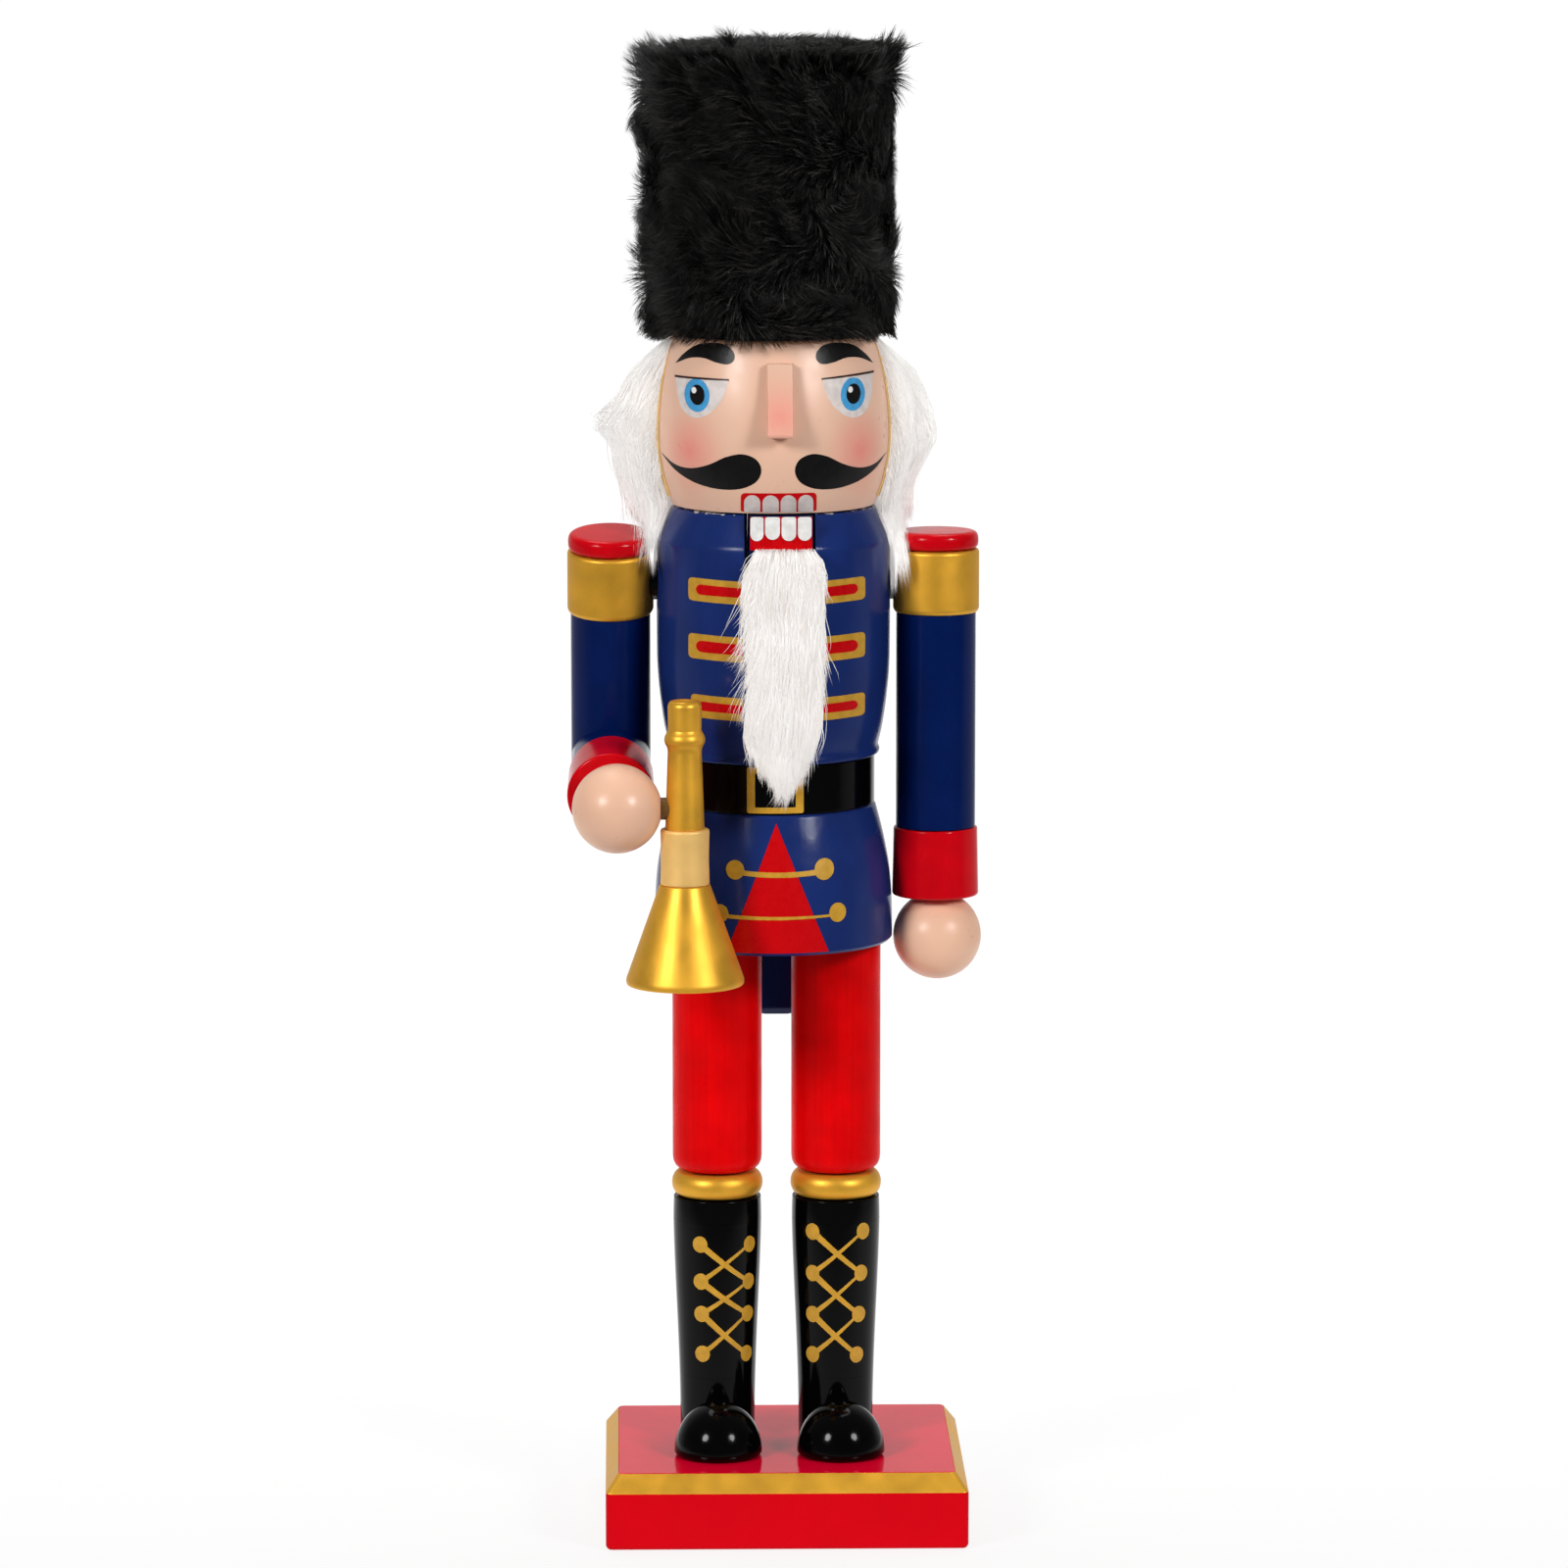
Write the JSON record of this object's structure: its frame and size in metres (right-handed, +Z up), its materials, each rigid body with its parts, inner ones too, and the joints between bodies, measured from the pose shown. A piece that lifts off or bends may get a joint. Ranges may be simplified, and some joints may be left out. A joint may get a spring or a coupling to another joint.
{
  "type": "nutcracker figure",
  "caption": "Turned wooden toy-soldier nutcracker with fur hat, hair and beard, a lever-worked jaw, turning arms and a horn, standing on a block.",
  "frame": {"origin": "on the underside of the block that the figure stands on, below the figure's own axis, 2.7 mm from the block's middle", "axes": "+Z up; the figure faces -Y; its own right arm, which holds the horn, is at -X"},
  "size_m": [0.1051, 0.0948, 0.377],
  "materials": {
    "red_gloss": "gloss lacquer over turned wood",
    "blue_gloss": "gloss lacquer over turned wood",
    "black_gloss": "high-gloss lacquer over turned wood",
    "gold": "satin metallic gold paint over turned wood",
    "pale_gold": "matt pale gold paint",
    "skin_satin": "satin paint over turned wood",
    "bare_wood": "raw",
    "white_fur": "long-pile faux fur",
    "black_fur": "short-pile faux fur",
    "steel": "plain"
  },
  "bodies": {
    "figure": {"base_block": "red_gloss", "base_screw_right": "steel", "base_screw_left": "steel", "boot_right": "black_gloss", "boot_left": "black_gloss", "toe_cap_right": "black_gloss", "toe_cap_left": "black_gloss", "knee_ring_right": "gold", "knee_ring_left": "gold", "trouser_leg_right": "red_gloss", "trouser_leg_left": "red_gloss", "knee_dowel_right": "bare_wood", "knee_dowel_left": "bare_wood", "hip_dowel_right": "bare_wood", "hip_dowel_left": "bare_wood", "skirt": "blue_gloss", "belt_block": "black_gloss", "chest": "blue_gloss", "waist_dowel": "bare_wood", "jaw_pin": "steel", "neck_dowel_right": "bare_wood", "neck_dowel_left": "bare_wood", "shoulder_peg_right": "bare_wood", "shoulder_peg_left": "bare_wood", "shoulder_spacer_right": "blue_gloss", "shoulder_spacer_left": "blue_gloss", "head": "skin_satin", "nose": "skin_satin", "hair_strip": "white_fur", "hat_core": "bare_wood", "hat_dowel": "bare_wood", "hat_fur": "black_fur"},
    "jaw": {"jaw_lever": "blue_gloss", "beard": "white_fur"},
    "right_arm": {"shoulder_cap_right": "red_gloss", "shoulder_band_right": "gold", "sleeve_right": "blue_gloss", "forearm_right": "blue_gloss", "cuff_right": "red_gloss", "hand_right": "skin_satin", "horn_peg": "bare_wood", "horn_mouthpiece": "gold", "horn_tube": "gold", "horn_ferrule": "pale_gold", "horn_bell": "gold"},
    "left_arm": {"shoulder_cap_left": "red_gloss", "shoulder_band_left": "gold", "sleeve_left": "blue_gloss", "cuff_left": "red_gloss", "hand_left": "skin_satin"}
  },
  "joints": [
    {"name": "jaw_hinge", "type": "hinge", "parent": "figure", "child": "jaw", "pos_m": [0, 0.006, 0.234], "axis": [1, 0, 0], "range_deg": [0, 10]},
    {"name": "right_shoulder", "type": "hinge", "parent": "figure", "child": "right_arm", "pos_m": [-0.0412, 0, 0.2415], "axis": [-1, 0, 0], "range_deg": [0, 70]},
    {"name": "left_shoulder", "type": "hinge", "parent": "figure", "child": "left_arm", "pos_m": [0.0412, 0, 0.2415], "axis": [-1, 0, 0], "range_deg": [-30, 90]}
  ]
}
